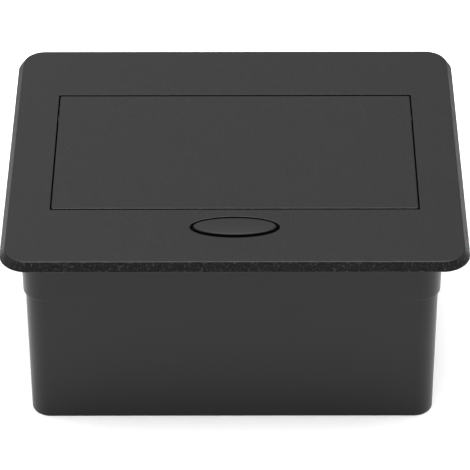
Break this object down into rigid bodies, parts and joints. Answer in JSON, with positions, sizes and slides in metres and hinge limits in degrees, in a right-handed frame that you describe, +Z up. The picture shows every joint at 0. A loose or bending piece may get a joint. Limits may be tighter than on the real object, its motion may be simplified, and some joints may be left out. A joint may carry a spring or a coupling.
{
  "type": "pop-up desk socket box",
  "caption": "Flush black desk socket box: an oval button frees a lid whose tilting module carries mains sockets, charging ports and a data jack; a deep box drops into the desk.",
  "frame": {"origin": "middle of the base, on the plane that the box stands on", "axes": "+Z up, +X to the right and -Y towards the button when facing the box"},
  "size_m": [0.181, 0.146, 0.0863],
  "materials": {
    "black_aluminium": "matt black, fine grain",
    "black_plastic": "satin black",
    "button_plastic": "matt black",
    "steel": "bright",
    "white_plastic": "satin white",
    "grey_plastic": "satin grey",
    "board": "satin green",
    "brass": "bright",
    "rubber": "matt"
  },
  "bodies": {
    "housing": {"top_panel": "black_aluminium", "body_frame": "black_plastic", "lower_box": "black_plastic", "panel_screws": "steel", "box_screws": "steel", "hinge_pin_left": "steel", "hinge_pin_right": "steel", "pin_rings": "steel", "lift_spring_left": "steel", "lift_spring_right": "steel", "damper_body": "grey_plastic", "damper_screws": "steel", "latch_pin": "steel", "latch_spring": "steel", "button_springs": "steel", "mains_grommet": "rubber", "data_grommet": "rubber"},
    "socket_module": {"lid_plate": "black_aluminium", "lid_screws": "steel", "module_frame": "black_plastic", "hinge_bush_left": "white_plastic", "hinge_bush_right": "white_plastic", "damper_sector": "white_plastic", "sector_screws": "steel", "socket_plate": "black_aluminium", "face_screws": "steel", "latch_keeper": "steel", "socket_well_left": "black_plastic", "socket_well_right": "black_plastic", "earth_clips": "brass", "earth_bar": "brass", "live_bar": "brass", "neutral_bar": "brass", "terminal_clamps": "brass", "terminal_screws": "steel", "usb_shells": "steel", "usb_tongues": "white_plastic", "charger_board": "board", "board_parts": "grey_plastic", "network_jack": "black_plastic", "jack_contacts": "brass", "rear_cover": "black_plastic", "cover_screws": "steel"},
    "release_button": {"button_cap": "button_plastic", "button_slider": "black_plastic"},
    "latch": {"latch_lever": "steel"},
    "damper_gear": {"damper_pinion": "white_plastic"}
  },
  "joints": [
    {"name": "lid_tilt", "type": "hinge", "parent": "housing", "child": "socket_module", "pos_m": [0, 0.0286, 0.0785], "axis": [-1, 0, 0], "range_deg": [0, 50], "deforming": ["lift_spring_left", "lift_spring_right"]},
    {"name": "button_press", "type": "slide", "parent": "housing", "child": "release_button", "axis": [0, 0, -1], "range_m": [0, 0.003], "stiffness_N_per_m": 400, "springref_m": -0.002, "deforming": ["button_springs"]},
    {"name": "latch_pivot", "type": "hinge", "parent": "housing", "child": "latch", "pos_m": [0, -0.0415, 0.06652], "axis": [1, 0, 0], "range_deg": [0, 20], "deforming": ["latch_spring"]},
    {"name": "damper_spin", "type": "hinge", "parent": "housing", "child": "damper_gear", "pos_m": [-0.068, 0.01435, 0.05382], "axis": [-1, 0, 0], "range_deg": [-270, 0]}
  ],
  "couplings": [
    {"joint": "latch_pivot", "follows": "button_press", "rad_per_m": 110.5},
    {"joint": "damper_spin", "follows": "lid_tilt", "ratio": -5.3333}
  ]
}
